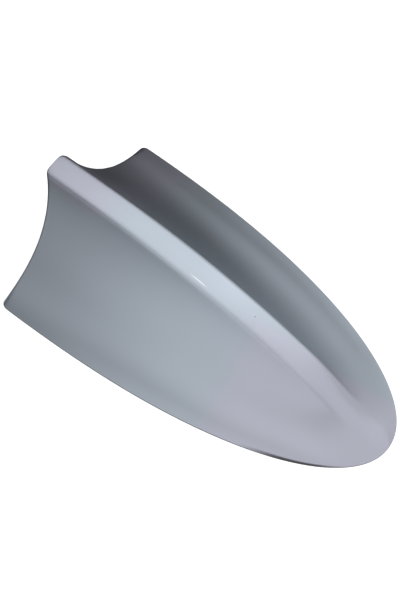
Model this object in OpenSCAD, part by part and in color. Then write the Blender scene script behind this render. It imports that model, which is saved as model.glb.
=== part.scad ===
// Shark-fin cover of a car's roof aerial: one moulded shell with a flat-topped fin,
// flared sides, an upright rim, a closed rear face and a hollow underside.
// +X is the nose, +Y the left side, +Z up. The origin lies in the plane of the foot,
// under the middle of the whole length.

/* [Base] */
// Length of the base from the rear edge to the nose
base_l = 160; // [130:1:190]
// Width of the base across its rear corners
base_w = 93; // [80:0.5:110]
// Shape of the plan outline: 2 is half an ellipse, more keeps the sides straighter
plan_power = 2.35; // [2:0.05:2.8]
// Height of the upright rim round the base
rim_h = 1.4; // [1:0.1:3]
// Radius of the two rear corners seen from above
corner_r = 2.6; // [1:0.1:4]

/* [Fin] */
// Height of the fin's top strip above the foot
fin_h = 51.5; // [42:0.5:60]
// Width of the strip along the top of the fin
strip_w = 11.4; // [9:0.1:14]
// Radius of the strip's two long edges
strip_r = 1.6; // [0.8:0.1:2.2]
// Radius to which these edges grow where the strip runs out in the nose
nose_r = 12; // [4:0.5:16]
// Rise of the strip's middle over its edges
strip_crown = 0.25; // [0.1:0.05:0.6]
// Length of the level stretch of the top, from the tail
level_l = 14.5; // [5:0.5:30]
// How the top falls towards the nose: 2 is a parabola, more holds it up longer
fall_power = 2.3; // [2:0.05:3]
// Distance from the nose to where the fin's top line would reach the foot
toe_l = 4; // [2:0.1:10]

/* [Flare] */
// How steeply the sides leave the strip: less is steeper
flare_power = 0.67; // [0.55:0.01:0.95]
// How much of their steepest part is left out beside the strip
flare_start = 0.035; // [0.02:0.005:0.1]
// How flat the sides run out to the rim: more is flatter
foot_power = 1.39; // [1.1:0.01:1.6]
// How much flatter still they run out at mid length
foot_swell = 0.25; // [0:0.05:0.4]
// Distance from the rear edge to where the hollow sides start to fill out towards the nose
hollow_l = 118; // [80:1:130]
// How the sides leave the strip at the nose: 1 is straight, 2 is round
nose_flare = 1.2; // [0.8:0.05:2]
// Height of the low dome that the fin grows out of, over the rim
dome_h = 20; // [14:0.5:26]
// Shape of the dome's middle line: more makes a blunter nose
dome_power = 4.2; // [3:0.1:5]

/* [Tail] */
// How far the top of the tail hangs over the rear edge of the base
tail_over = 1.2; // [0:0.1:2]
// Depth of the hollow in the rear face, seen from the side
tail_hollow = 2.8; // [0.5:0.1:6]
// Radius of the two corners of the strip at the tail
top_corner_r = 1.7; // [0.8:0.1:2.4]
// Radius of the upright edges of the rear face
tail_edge_r = 0.5; // [0.3:0.1:1]

/* [Shell] */
// Wall thickness
wall = 2.2; // [1.4:0.1:3]
// Width of the flat foot that the adhesive holds
foot_w = 6; // [4.5:0.1:9]
// Number of cross ribs inside the fin
rib_n = 3; // [2:1:4]
// Thickness of a cross rib
rib_t = 1.6; // [1:0.1:2.4]
// Depth of a cross rib below the ceiling of the fin
rib_depth = 13; // [6:0.5:18]

/* [Hidden] */
cover_colour = [0.66, 0.69, 0.73];

// Rows of points along the length, and points across half of a section
tail_rows = [0, 0.04, 0.14, 0.32, 0.6, 1]; // over the corner radius
mid_rows = 21;
nose_rows = 20;
strip_cols = 6;
side_cols = 13;
inner_cols = 11;
side_crowding = 1.9; // how much closer the points lie beside the strip
inner_crowding = 1.7;
nose_start = 0.72 * base_l; // from here the rows close up on the round nose
rib_draft = 0.3;
rib_first = 0.16 * base_l;
rib_last = 0.56 * base_l;
min_gap = 0.8; // least height of the hollow's edge over the foot
fin_blend = 2; // how softly the fin's top line runs out on the dome
strip_fade = 4; // how suddenly the strip narrows in the nose
edge_share = 0.85; // how much of the half strip its rounded edge may take
rim_reach = 10; // how closely the rear corners' radius keeps to the rim
top_reach = 14; // and the radius at the top of the tail to the strip
foot_blend = 3 * foot_w; // height over which the rear wall widens to the foot
erode_steps = 9;
slope_step = 0.5;
least_y = 0.02;
tiny = 0.001;

middle_x = (base_l - tail_over) / 2; // from the rear edge to the origin

function clamp01(v) = max(0, min(1, v));
function smooth(v) = let (c = clamp01(v)) c * c * (3 - 2 * c);
function soft_max(a, b, r) = (a + b + sqrt((a - b) * (a - b) + r * r)) / 2;

// Plan outline and top line, with x measured from the rear edge
function half_plan(x) = base_w / 2 * sqrt(max(0, 1 - pow(clamp01(x / base_l), plan_power)));
function fin_line(x) =
    fin_h * (1 - pow(max(0, x - level_l) / (base_l - toe_l - level_l), fall_power));
function dome_line(x) = rim_h + dome_h * (1 - pow(clamp01(x / base_l), dome_power));
function top_z(x) = soft_max(fin_line(x), dome_line(x), fin_blend);

// The strip keeps its width until the nose is too narrow for it
function half_strip(x) = let (u = half_plan(x) / strip_w)
    strip_w / 2 * u / pow(1 + pow(u, strip_fade), 1 / strip_fade);
function nose_share(x) = smooth((x - hollow_l) / (base_l - hollow_l));

// The sides: how their fall is shaped at x, how much of it is done at the share q of
// their width, and the angle at which they leave the strip
function flare(x) = flare_power + (nose_flare - flare_power) * nose_share(x);
function run_out(x) = let (m = clamp01(x / base_l))
    foot_power + (1 - foot_power) * nose_share(x) + 4 * foot_swell * m * (1 - m);
function fall_whole(a) = pow(1 + flare_start, a) - pow(flare_start, a);
function fall_share(q, a) = (pow(clamp01(q) + flare_start, a) - pow(flare_start, a))
    / fall_whole(a);
function leave_angle(x) = let (
        a = flare(x),
        width = max(least_y, half_plan(x) - half_strip(x)),
        height = top_z(x) - strip_crown - rim_h)
    atan(run_out(x) * height / width * a * pow(flare_start, a - 1) / fall_whole(a));
function edge_r(x) = min(strip_r + (nose_r - strip_r) * nose_share(x),
    edge_share * half_strip(x) / max(tiny, sin(leave_angle(x))));

// Height of the outside at any place of the plan; the strip's edges turn into the sides
function strip_z(x, y) = let (
        t = half_strip(x),
        r = edge_r(x),
        over = clamp01((y - t) / r + sin(leave_angle(x))))
    top_z(x) - strip_crown * y * y / (t * t) - r * (1 - sqrt(1 - over * over));
function side_z(x, q) = let (start = strip_z(x, half_strip(x)))
    rim_h + max(0, start - rim_h)
        * pow(max(0, 1 - fall_share(q, flare(x))), run_out(x));
function outside_z(x, y) = let (t = half_strip(x), w = half_plan(x))
    y <= t ? strip_z(x, y) : side_z(x, (y - t) / max(least_y, w - t));

// The rear face: how far it lies in front of the rear edge at height z
function tail_x(z) = let (k = clamp01((z - rim_h) / (fin_h - rim_h)))
    4 * tail_hollow * k * (1 - k) - tail_over * k;
// What a rounded upright edge of radius r takes off the half width, x behind its start
function round_off(x, r) = x >= r ? 0 : r - sqrt(r * r - (r - x) * (r - x));

// Rows along the length as distances from the rear edge
outer_rows = concat(
    [for (k = tail_rows) k * corner_r],
    [for (i = [1:mid_rows]) corner_r + (nose_start - corner_r) * i / mid_rows],
    [for (i = [1:nose_rows - 1])
        nose_start + (base_l - nose_start) * sin(90 * i / nose_rows)]);
rows = len(outer_rows);

// Points across half of a section, from the middle to the rim
flat_cols = strip_cols / 2;
function strip_y(x, j) = let (
        r = edge_r(x),
        bend = leave_angle(x),
        flat = half_strip(x) - r * sin(bend))
    j <= flat_cols ? flat * j / flat_cols
        : flat + r * sin(bend * (j - flat_cols) / (strip_cols - flat_cols));
function side_q(j) = pow((j - strip_cols) / side_cols, side_crowding);
half_cols = strip_cols + side_cols;

function outer_point(x0, j, side) = let (
        q = j <= strip_cols ? 0 : side_q(j),
        rear_z = j <= strip_cols ? strip_z(0, strip_y(0, j)) : side_z(0, q),
        shift = tail_x(rear_z),
        x = shift + x0 * (base_l - shift) / base_l,
        t = half_strip(x),
        y = j <= strip_cols ? strip_y(x, j) : t + q * (half_plan(x) - t),
        z = j <= strip_cols ? strip_z(x, y) : side_z(x, q),
        r = tail_edge_r + (corner_r - tail_edge_r) * pow(q, rim_reach)
            + (top_corner_r - tail_edge_r) * pow(1 - q, top_reach),
        rounded = max(least_y, y - round_off(x0, r) * min(1, y / half_strip(0))))
    [x - middle_x, side * (j == 0 ? 0 : rounded), z];

outer_cols = 2 * half_cols + 1;
outer_skin = [for (x = outer_rows) for (c = [0:outer_cols - 1])
    let (k = c - half_cols) outer_point(x, abs(k), k < 0 ? -1 : 1)];
rim_foot = concat(
    [for (i = [0:rows - 1]) let (p = outer_skin[i * outer_cols]) [p[0], p[1], 0]],
    [[base_l - middle_x, 0, 0]],
    [for (i = [rows - 1:-1:0])
        let (p = outer_skin[i * outer_cols + outer_cols - 1]) [p[0], p[1], 0]]);

// The hollow: the outside moved in by the wall, as a ball of that radius would cut it
hollow_end = base_l - foot_w;
function half_hollow(x) = (base_w / 2 - foot_w)
    * sqrt(max(0, 1 - pow(clamp01(x / hollow_end), plan_power)));
function slope_x(x) = (outside_z(x + slope_step, 0) - outside_z(x - slope_step, 0))
    / (2 * slope_step);
function inside_z(x, y) = let (tilt = sqrt(1 + slope_x(x) * slope_x(x)))
    min([for (k = [0:erode_steps])
        let (d = wall * sin(90 * k / erode_steps))
        outside_z(x, y + d) - tilt * sqrt(max(0, wall * wall - d * d))]);

// Cross ribs hang from the ceiling of the fin
rib_x = [for (i = [0:rib_n - 1]) rib_first + (rib_last - rib_first) * i / (rib_n - 1)];
function rib_rows(i) = let (h = rib_t / 2)
    [for (d = [-h - rib_draft, -h, h, h + rib_draft]) rib_x[i] + d];
lean_end = rib_x[0] - rib_t; // from here the rows stand straight across
function on_rib(x) = len([for (r = rib_x) if (abs(x - r) <= rib_t / 2 + tiny) r]) > 0;

// The hollow has as many rows as the outside, so that the foot joins them row by row
tail_n = len(tail_rows);
plain_n = tail_n + mid_rows - 4 * rib_n;
spans = rib_n + 1;
function span_rows(i) = floor(plain_n * (i + 1) / spans) - floor(plain_n * i / spans);
function span_from(i) = i == 0 ? foot_w : rib_x[i - 1] + rib_t / 2 + rib_draft;
function span_to(i) = i == rib_n ? nose_start - foot_w : rib_x[i] - rib_t / 2 - rib_draft;
function span(i) = let (n = span_rows(i), a = span_from(i), b = span_to(i))
    i == 0 ? [for (k = [0:n - 1]) a + (b - a) * k / n]
        : i == rib_n ? [for (k = [1:n]) a + (b - a) * k / n]
        : [for (k = [1:n]) a + (b - a) * k / (n + 1)];
inner_rows = concat(
    [for (i = [0:rib_n]) each concat(span(i), i < rib_n ? rib_rows(i) : [])],
    [for (i = [1:nose_rows - 1]) let (a = nose_start - foot_w)
        a + (hollow_end - a) * sin(90 * i / nose_rows)]);

function inner_y(x, j) = let (
        w = half_hollow(x),
        t = min(half_strip(x) - wall, w / 2))
    t + (w - t) * pow(j / inner_cols, inner_crowding);
function inner_point(x0, j, side) = let (
        y = inner_y(x0, j),
        first_z = inside_z(x0, y),
        foot = (foot_w - wall) * smooth(1 - first_z / foot_blend),
        rear = tail_x(first_z) + wall + foot,
        x = x0 + (rear - foot_w) * clamp01((lean_end - x0) / (lean_end - foot_w)),
        open_z = inside_z(x, y),
        ceiling = inside_z(x, 0),
        z = on_rib(x0) ? min(open_z, max(min_gap, ceiling - rib_depth)) : open_z)
    [x - middle_x, side * y, max(min_gap, z)];

inner_width = 2 * (inner_cols + 1);
inner_skin = [for (x = inner_rows) for (c = [0:inner_width - 1])
    let (left = c > inner_cols, j = left ? c - inner_cols - 1 : inner_cols - c)
    inner_point(x, j, left ? 1 : -1)];
hollow_tip = [hollow_end - middle_x, 0];
hollow_tip_z = max(min_gap, inside_z(hollow_end, 0));
hollow_foot = concat(
    [for (i = [0:rows - 1]) let (p = inner_skin[i * inner_width]) [p[0], p[1], 0]],
    [[hollow_tip[0], 0, 0]],
    [for (i = [rows - 1:-1:0])
        let (p = inner_skin[i * inner_width + inner_width - 1]) [p[0], p[1], 0]]);

// Faces
function grid(at, width) = [for (i = [0:rows - 2]) for (c = [0:width - 2])
    let (a = at + i * width + c) [a, a + 1, a + width + 1, a + width]];
function fan(at, width, tip) = let (a = at + (rows - 1) * width)
    [for (c = [0:width - 2]) [a + c, a + c + 1, tip]];
function rear(at, width) = [for (c = [0:floor(width / 2) - 1]) let (m = at + width - 1 - c)
    m - 1 == at + c + 1 ? [at + c, m, m - 1]
        : m - 1 > at + c ? [at + c, m, m - 1, at + c + 1] : [at + c, m, at + c]];
function border(at, width, tip) = concat(
    [for (i = [0:rows - 1]) at + i * width],
    [tip],
    [for (i = [rows - 1:-1:0]) at + i * width + width - 1]);
function ring(a, b) = [for (i = [0:len(a) - 1]) let (k = (i + 1) % len(a))
    [a[i], a[k], b[k], b[i]]];
function turned(faces) = [for (f = faces) [for (i = [len(f) - 1:-1:0]) f[i]]];

module fin_cover() {
    loop_n = 2 * rows + 1;
    outer_tip = len(outer_skin);
    foot_at = outer_tip + 1;
    inner_at = foot_at + loop_n;
    inner_tip = inner_at + len(inner_skin);
    hollow_at = inner_tip + 1;
    points = concat(
        outer_skin, [[base_l - middle_x, 0, rim_h]], rim_foot,
        inner_skin, [[hollow_tip[0], 0, hollow_tip_z]], hollow_foot);
    foot_loop = [for (i = [0:loop_n - 1]) foot_at + i];
    hollow_loop = [for (i = [0:loop_n - 1]) hollow_at + i];
    faces = concat(
        grid(0, outer_cols),
        fan(0, outer_cols, outer_tip),
        rear(0, outer_cols),
        ring(border(0, outer_cols, outer_tip), foot_loop),
        ring(foot_loop, hollow_loop),
        turned(concat(
            grid(inner_at, inner_width),
            fan(inner_at, inner_width, inner_tip),
            rear(inner_at, inner_width),
            ring(border(inner_at, inner_width, inner_tip), hollow_loop))));
    color(cover_colour) polyhedron(points = points, faces = faces, convexity = 6);
}

fin_cover();
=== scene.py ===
import bpy, bmesh, math
from mathutils import Matrix, Vector


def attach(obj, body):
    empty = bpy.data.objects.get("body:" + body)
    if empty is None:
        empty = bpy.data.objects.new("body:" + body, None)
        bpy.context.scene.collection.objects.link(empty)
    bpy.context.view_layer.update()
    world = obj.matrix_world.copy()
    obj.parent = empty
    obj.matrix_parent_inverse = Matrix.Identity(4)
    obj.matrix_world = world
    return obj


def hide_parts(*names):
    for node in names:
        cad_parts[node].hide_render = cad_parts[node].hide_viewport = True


# Fin cover of a roof aerial: one moulded shell, painted outside and bare underneath

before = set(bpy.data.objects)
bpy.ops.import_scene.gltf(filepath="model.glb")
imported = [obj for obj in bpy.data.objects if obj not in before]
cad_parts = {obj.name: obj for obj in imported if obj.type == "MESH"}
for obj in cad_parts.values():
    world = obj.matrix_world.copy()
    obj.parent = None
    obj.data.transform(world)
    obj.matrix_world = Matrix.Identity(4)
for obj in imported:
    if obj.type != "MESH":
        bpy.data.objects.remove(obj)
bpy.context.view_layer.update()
mm = 0.001


class Wire:  # an output socket that can stand in a sum
    def __init__(self, finish, socket):
        self.finish = finish
        self.socket = socket

    def sum(self, operation, a, b):
        return self.finish.sum(operation, a, b)

    def __add__(self, other):
        return self.sum("ADD", self, other)

    def __radd__(self, other):
        return self.sum("ADD", other, self)

    def __sub__(self, other):
        return self.sum("SUBTRACT", self, other)

    def __rsub__(self, other):
        return self.sum("SUBTRACT", other, self)

    def __mul__(self, other):
        return self.sum("MULTIPLY", self, other)

    def __rmul__(self, other):
        return self.sum("MULTIPLY", other, self)

    def __truediv__(self, other):
        return self.sum("DIVIDE", self, other)

    def __rtruediv__(self, other):
        return self.sum("DIVIDE", other, self)


class Finish:  # a material and its nodes
    def __init__(self, name):
        self.material = bpy.data.materials.new(name)
        self.material.use_nodes = True
        self.tree = self.material.node_tree
        self.shader = self.tree.nodes["Principled BSDF"]

    def add(self, kind, settings=None, inputs=None, output=0):
        node = self.tree.nodes.new(kind)
        for key, value in (settings or {}).items():
            setattr(node, key, value)
        self.feed(node, inputs or {})
        return Wire(self, node.outputs[output])

    def noise(self, place, scale, detail):
        return self.add("ShaderNodeTexNoise", None,
                        {"Vector": place, "Scale": scale, "Detail": detail})

    def sum(self, operation, a, b):
        return self.add("ShaderNodeMath", {"operation": operation}, {0: a, 1: b})

    def vector(self, operation, a, b=(0, 0, 0), output="Value"):
        return self.add("ShaderNodeVectorMath", {"operation": operation}, {0: a, 1: b}, output)

    def spread(self, value, low, high):  # 0 at low and 1 at high
        return self.add("ShaderNodeMapRange", {"interpolation_type": "SMOOTHSTEP"},
                        {"Value": value, "From Min": low, "From Max": high})

    # A Mix node has several sockets of the same name, so they are told apart by number.
    def mixValue(self, share, a, b):
        return self.add("ShaderNodeMix", {"data_type": "FLOAT"}, {0: share, 2: a, 3: b})

    def mixColour(self, share, a, b):
        return self.add("ShaderNodeMix", {"data_type": "RGBA"}, {0: share, 6: a, 7: b}, output=2)

    def feed(self, node, inputs):
        for key, value in inputs.items():
            if isinstance(value, Wire):
                self.tree.links.new(value.socket, node.inputs[key])
            else:
                node.inputs[key].default_value = value


paint = {
    "greenish": (0.530, 0.590, 0.665, 1),
    "lilac": (0.575, 0.590, 0.685, 1),
    "noseReflectionTint": (8 * mm, 26 * mm),  # over this length the painted reflection tint turns lilac towards the nose
    "noseLean": 3.5,  # how much later on the far side
    "tailReflectionTint": (44 * mm, 60 * mm),  # and again on the strip and the far side at the tail
    "stripFrom": (44 * mm, 48 * mm),
    "farSideFrom": (4 * mm, 12 * mm),
    "patchScale": 11.0,
    "patchDetail": 2,
    "patchMiddle": 0.5,
    "patchShare": 0.5,
    "roughness": (0.39, 0.43),
    "clouding": 60.0,
    "cloudDetail": 3,
    "ripple": 420.0,
    "rippleDetail": 1,
    "rippleDepth": 0.004 * mm,
}

plastic = {
    "colour": (0.052, 0.054, 0.058, 1),
    "worn": (0.072, 0.074, 0.078, 1),
    "wornFrom": (0.35, 0.7),
    "roughness": (0.46, 0.60),
    "grain": 1500.0,
    "grainDetail": 2,
    "grainDepth": 0.02 * mm,
}

speck = {
    "at": (14.29 * mm, 0.31 * mm, 37.99 * mm),
    "radius": (0.34 * mm, 0.136 * mm),  # where it starts and where it is full
    "colour": (0.26, 0.27, 0.28, 1),
}

paintedRimShade = {  # painted shade: the rim's lower edge on the near side towards the nose is given the dark plastic colour
    "from": (32 * mm, 50 * mm),
    "to": (73 * mm, 61 * mm),
    "side": (0, -4 * mm),
    "height": (1.66 * mm, 1.48 * mm),
}

paintedGlint = {  # a painted glint: a bright highlight line beside the strip's near edge
    "at": (-9.4 * mm, -3.2 * mm, 45.5 * mm),
    "along": (0.968, -0.01, -0.249),
    "halfLength": 5.5 * mm,
    "halfWidth": 0.26 * mm,
    "colour": (0.93, 0.95, 0.98, 1),
}


def patchyReflectionTint(f, place, x, y, z):  # painted reflection tint: greenish in the middle, lilac at the nose and the tail, with random patches of tone
    patches = f.noise(place, paint["patchScale"], paint["patchDetail"])
    farSide = f.sum("MAXIMUM", y, 0)
    towardsNose = f.spread(x - farSide * paint["noseLean"], *paint["noseReflectionTint"])
    above = f.spread(z, *paint["stripFrom"])
    beyond = f.spread(y, *paint["farSideFrom"])
    towardsTail = f.spread(-1 * x, *paint["tailReflectionTint"]) * f.sum("MAXIMUM", above, beyond)
    # the lilac share is painted reflection colour, plus random patches of tone
    lilacShare = towardsNose + towardsTail + (patches - paint["patchMiddle"]) * paint["patchShare"]
    return f.mixColour(lilacShare, paint["greenish"], paint["lilac"])


# The dark speck is real dirt; the bright line after it is a painted glint
def withSpeckAndGlint(f, place, tint):
    fromSpeck = f.vector("DISTANCE", place, speck["at"])
    painted = f.mixColour(f.spread(fromSpeck, *speck["radius"]), tint, speck["colour"])
    offset = f.vector("SUBTRACT", place, paintedGlint["at"], output="Vector")
    along = f.vector("DOT_PRODUCT", offset, paintedGlint["along"]) / paintedGlint["halfLength"]
    away = f.vector("LENGTH", f.vector("CROSS_PRODUCT", offset, paintedGlint["along"], output="Vector"))
    away = away / paintedGlint["halfWidth"]
    # painted highlight: near-white colour where a glint lies on the edge
    inGlint = f.spread(along * along + away * away, 1.0, 0.0)
    return f.mixColour(inGlint, painted, paintedGlint["colour"])


def shellFinish():
    f = Finish("painted_shell")
    place = f.add("ShaderNodeTexCoord", output="Object")
    x = f.vector("DOT_PRODUCT", place, (1, 0, 0))
    y = f.vector("DOT_PRODUCT", place, (0, 1, 0))
    z = f.vector("DOT_PRODUCT", place, (0, 0, 1))

    inside = f.add("ShaderNodeAttribute", {"attribute_name": "bare"}, output="Fac")
    # Painted shade along the near rim's lower edge, drawn in the dark plastic colour
    onShadedRim = f.spread(x, *paintedRimShade["from"]) * f.spread(x, *paintedRimShade["to"])
    onShadedRim = onShadedRim * f.spread(y, *paintedRimShade["side"]) * f.spread(z, *paintedRimShade["height"])
    # share of plastic colour: the bare hollow and foot, and the painted shade on the near rim
    bare = f.sum("MAXIMUM", inside, onShadedRim)

    painted = withSpeckAndGlint(f, place, patchyReflectionTint(f, place, x, y, z))
    clouds = f.noise(place, paint["clouding"], paint["cloudDetail"])
    grain = f.noise(place, plastic["grain"], plastic["grainDetail"])
    moulded = f.mixColour(f.spread(clouds, *plastic["wornFrom"]), plastic["colour"], plastic["worn"])

    smoothPaint, roughPaint = paint["roughness"]
    smoothPlastic, roughPlastic = plastic["roughness"]
    paintRough = smoothPaint + clouds * (roughPaint - smoothPaint)
    plasticRough = smoothPlastic + clouds * (roughPlastic - smoothPlastic)
    ripple = f.noise(place, paint["ripple"], paint["rippleDetail"]) * paint["rippleDepth"]
    relief = f.mixValue(bare, ripple, grain * plastic["grainDepth"])
    f.feed(f.shader, {
        "Base Color": f.mixColour(bare, painted, moulded),
        "Metallic": 1 - bare,
        "Roughness": f.mixValue(bare, paintRough, plasticRough),
        "Normal": f.add("ShaderNodeBump", None, {"Height": relief, "Distance": 1.0}),
    })
    return f.material


shell = {
    "mergeWithin": 0.001 * mm,
    "quadAngle": 35,  # degrees between triangles that still make one face
    "quadSkew": 180,  # and any shape of quad will do
    "sharpAngle": 38,
    "edgeRound": 0.3 * mm,
    "edgeSteps": 2,
    "smoothLevels": 2,
    "noseFrom": 40 * mm,
    "noseSides": (-18 * mm, 4.5 * mm),
    "noseAbove": 3 * mm,
    "noseInsets": (0, 1.5 * mm, 3 * mm, 4.5 * mm),
    "noseEase": 0.5,
}


def markBare(bm):  # the hollow and the foot, as what can't be reached from the top
    bare = bm.faces.layers.float.new("bare")
    for face in bm.faces:
        face[bare] = 1.0
    reached = [max(bm.faces, key=lambda face: face.calc_center_median().z)]
    while reached:
        face = reached.pop()
        if face[bare] == 0.0:
            continue
        face[bare] = 0.0
        for edge in face.edges:
            if max(v.co.z for v in edge.verts) > shell["mergeWithin"]:
                reached.extend(edge.link_faces)
    print("bare faces", sum(face[bare] > 0.5 for face in bm.faces))


def inNose(v, inset):  # round the strip, where it runs out in the nose
    x, y, z = v.co
    near, far = shell["noseSides"]
    return (x > shell["noseFrom"] + inset and near + inset < y < far - inset / 2
            and z > shell["noseAbove"] + inset / 2)


def easeNose(bm):  # each pass takes in a little less than the one before
    bare = bm.faces.layers.float["bare"]
    painted = [v for v in bm.verts if all(face[bare] < 0.5 for face in v.link_faces)]
    for inset in shell["noseInsets"]:
        inside = [v for v in painted if inNose(v, inset)]
        bmesh.ops.smooth_vert(bm, verts=inside, factor=shell["noseEase"],
                              use_axis_x=True, use_axis_y=True, use_axis_z=True)
        print("eased at the nose", len(inside))


def coverShell():
    bm = bmesh.new()
    bm.from_mesh(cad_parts["fin_cover"].data)
    bmesh.ops.remove_doubles(bm, verts=bm.verts, dist=shell["mergeWithin"])
    bmesh.ops.join_triangles(bm, faces=bm.faces,
                             angle_face_threshold=math.radians(shell["quadAngle"]),
                             angle_shape_threshold=math.radians(shell["quadSkew"]))
    markBare(bm)
    easeNose(bm)
    sharp = [e for e in bm.edges if len(e.link_faces) == 2
             and e.calc_face_angle(0) > math.radians(shell["sharpAngle"])]
    print("faces", len(bm.faces), "sharp edges", len(sharp))
    bmesh.ops.bevel(bm, geom=sharp, offset=shell["edgeRound"], offset_type="OFFSET",
                    segments=shell["edgeSteps"], profile=0.5, affect="EDGES",
                    clamp_overlap=True, material=-1)
    mesh = bpy.data.meshes.new("cover_shell")
    bm.to_mesh(mesh)
    bm.free()
    mesh.shade_smooth()
    piece = bpy.data.objects.new("cover_shell", mesh)
    bpy.context.collection.objects.link(piece)
    smooth = piece.modifiers.new("smooth", "SUBSURF")
    smooth.levels = smooth.render_levels = shell["smoothLevels"]
    mesh.materials.append(shellFinish())
    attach(piece, "root")
    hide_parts("fin_cover")


camera = {
    "azimuth": 37.16,  # degrees, how far the view stands round to the nose's right
    "elevation": 69.15,
    "distance": 402 * mm,
    "aim": (0.6 * mm, 0.0, 19.63 * mm),
    "aimPixel": (225.25, 314.2),  # where the aim lies in the photograph
    "pixelsPerMm": 2.574,
    "picture": (401, 601),
    "sensorHeight": 36,
    "clip": (0.01, 20),
}


def makeCamera():
    az, el = math.radians(camera["azimuth"]), math.radians(camera["elevation"])
    back = Vector((math.sin(az) * math.cos(el), -math.cos(az) * math.cos(el), math.sin(el)))
    right = Vector((math.cos(az), math.sin(az), 0))
    up = back.cross(right)
    wide, high = camera["picture"]
    data = bpy.data.cameras.new("camera")
    data.sensor_fit = "VERTICAL"
    data.sensor_height = camera["sensorHeight"]
    data.lens = camera["pixelsPerMm"] * camera["distance"] / mm / high * data.sensor_height
    data.shift_x = -(camera["aimPixel"][0] - wide / 2) / high
    data.shift_y = (camera["aimPixel"][1] - high / 2) / high
    data.clip_start, data.clip_end = camera["clip"]
    body = bpy.data.objects.new("camera", data)
    turn = Matrix((right, up, back)).transposed().to_4x4()
    body.matrix_world = Matrix.Translation(Vector(camera["aim"]) + back * camera["distance"]) @ turn
    bpy.context.collection.objects.link(body)
    bpy.context.scene.camera = body


# Wide soft lamps far off, and soft panels close by, so that the light falls off along the part.
# Azimuth counts from the nose towards the left side, and spread is half the lamp's angle.
lamps = {
    "nearHigh": {"azimuth": -96, "elevation": 44, "spread": 26, "strength": 0.283},
    "nearLow": {"azimuth": -85, "elevation": -16, "spread": 36, "strength": 0.404},
    "noseHigh": {"azimuth": 12, "elevation": 29, "spread": 58, "strength": 0.727},
    "farLow": {"azimuth": 91, "elevation": 14, "spread": 17, "strength": 0.104},
    "ceiling": {"azimuth": 122, "elevation": 68, "spread": 16, "strength": 0.139},
    "farBelow": {"azimuth": 63, "elevation": -12, "spread": 25, "strength": 0.136},
    "rear": {"azimuth": 180, "elevation": 4, "spread": 24, "strength": 0.5},
}

panels = {
    "nose": {"azimuth": 59, "elevation": 2, "distance": 0.223, "radius": 0.211, "glow": 0.139},
    "top": {"azimuth": 136, "elevation": 78, "distance": 0.2, "radius": 0.153, "glow": 0.705},
    "near": {"azimuth": -43, "elevation": 1, "distance": 0.201, "radius": 0.458, "glow": 0.424},
    "front": {"azimuth": 41, "elevation": 46, "distance": 0.591, "radius": 0.192, "glow": 0.857},
    "far": {"azimuth": 71, "elevation": 13, "distance": 0.216, "radius": 0.195, "glow": 0.075},
}

lampPlace = {
    "centre": (0, 0, 20 * mm),  # what the lamps point at
    "farOff": 1.0,  # metres, for the wide lamps
}


def hangLamp(name, data, lamp, distance):
    az, el = math.radians(lamp["azimuth"]), math.radians(lamp["elevation"])
    towards = Vector((math.cos(el) * math.cos(az), math.cos(el) * math.sin(az), math.sin(el)))
    body = bpy.data.objects.new(name, data)
    body.location = Vector(lampPlace["centre"]) + towards * distance
    body.rotation_euler = towards.to_track_quat("Z", "Y").to_euler()
    body.visible_camera = False
    bpy.context.collection.objects.link(body)


def makeLamps():
    for name, lamp in lamps.items():
        data = bpy.data.lights.new(name, "SUN")
        data.energy = lamp["strength"]
        data.angle = math.radians(2 * lamp["spread"])
        hangLamp(name, data, lamp, lampPlace["farOff"])
    for name, panel in panels.items():
        data = bpy.data.lights.new(name, "AREA")
        data.shape = "DISK"
        data.size = 2 * panel["radius"]
        data.energy = panel["glow"] * (math.pi * panel["radius"]) ** 2  # glow is its brightness
        hangLamp(name, data, panel, panel["distance"])


studio = {
    "floorSize": 3.0,
    "floorBelow": 0.05 * mm,
    "colour": (0.86, 0.86, 0.86, 1),
    "roughness": 0.9,
    "floorGlow": 0.9,
    "backdropRadius": 1.4,
    "backdropSides": (48, 24),
    "backdropGlow": 1.1,
    "sky": (1, 1, 1, 1),
    "skyStrength": 0.008,
}


def placeStage(name, bm, glow):  # seen by the camera alone
    mesh = bpy.data.meshes.new(name)
    bm.to_mesh(mesh)
    bm.free()
    body = bpy.data.objects.new(name, mesh)
    bpy.context.collection.objects.link(body)
    f = Finish(name)
    f.feed(f.shader, {"Base Color": studio["colour"], "Roughness": studio["roughness"],
                      "Emission Color": studio["colour"], "Emission Strength": glow})
    mesh.materials.append(f.material)
    body.visible_diffuse = body.visible_glossy = body.visible_shadow = False


def makeStudio():
    bm = bmesh.new()
    bmesh.ops.create_grid(bm, x_segments=1, y_segments=1, size=studio["floorSize"] / 2,
                          matrix=Matrix.Translation((0, 0, -studio["floorBelow"])))
    placeStage("floor", bm, studio["floorGlow"])
    around, upwards = studio["backdropSides"]
    bm = bmesh.new()
    bmesh.ops.create_uvsphere(bm, u_segments=around, v_segments=upwards,
                              radius=studio["backdropRadius"])
    bmesh.ops.reverse_faces(bm, faces=bm.faces)
    placeStage("backdrop", bm, studio["backdropGlow"])
    world = bpy.data.worlds.new("studio")
    world.use_nodes = True
    sky = world.node_tree.nodes["Background"]
    sky.inputs["Color"].default_value = studio["sky"]
    sky.inputs["Strength"].default_value = studio["skyStrength"]
    bpy.context.scene.world = world
    bpy.context.scene.view_settings.view_transform = "Standard"


print("shell")
coverShell()
print("camera and studio")
makeCamera()
makeLamps()
makeStudio()
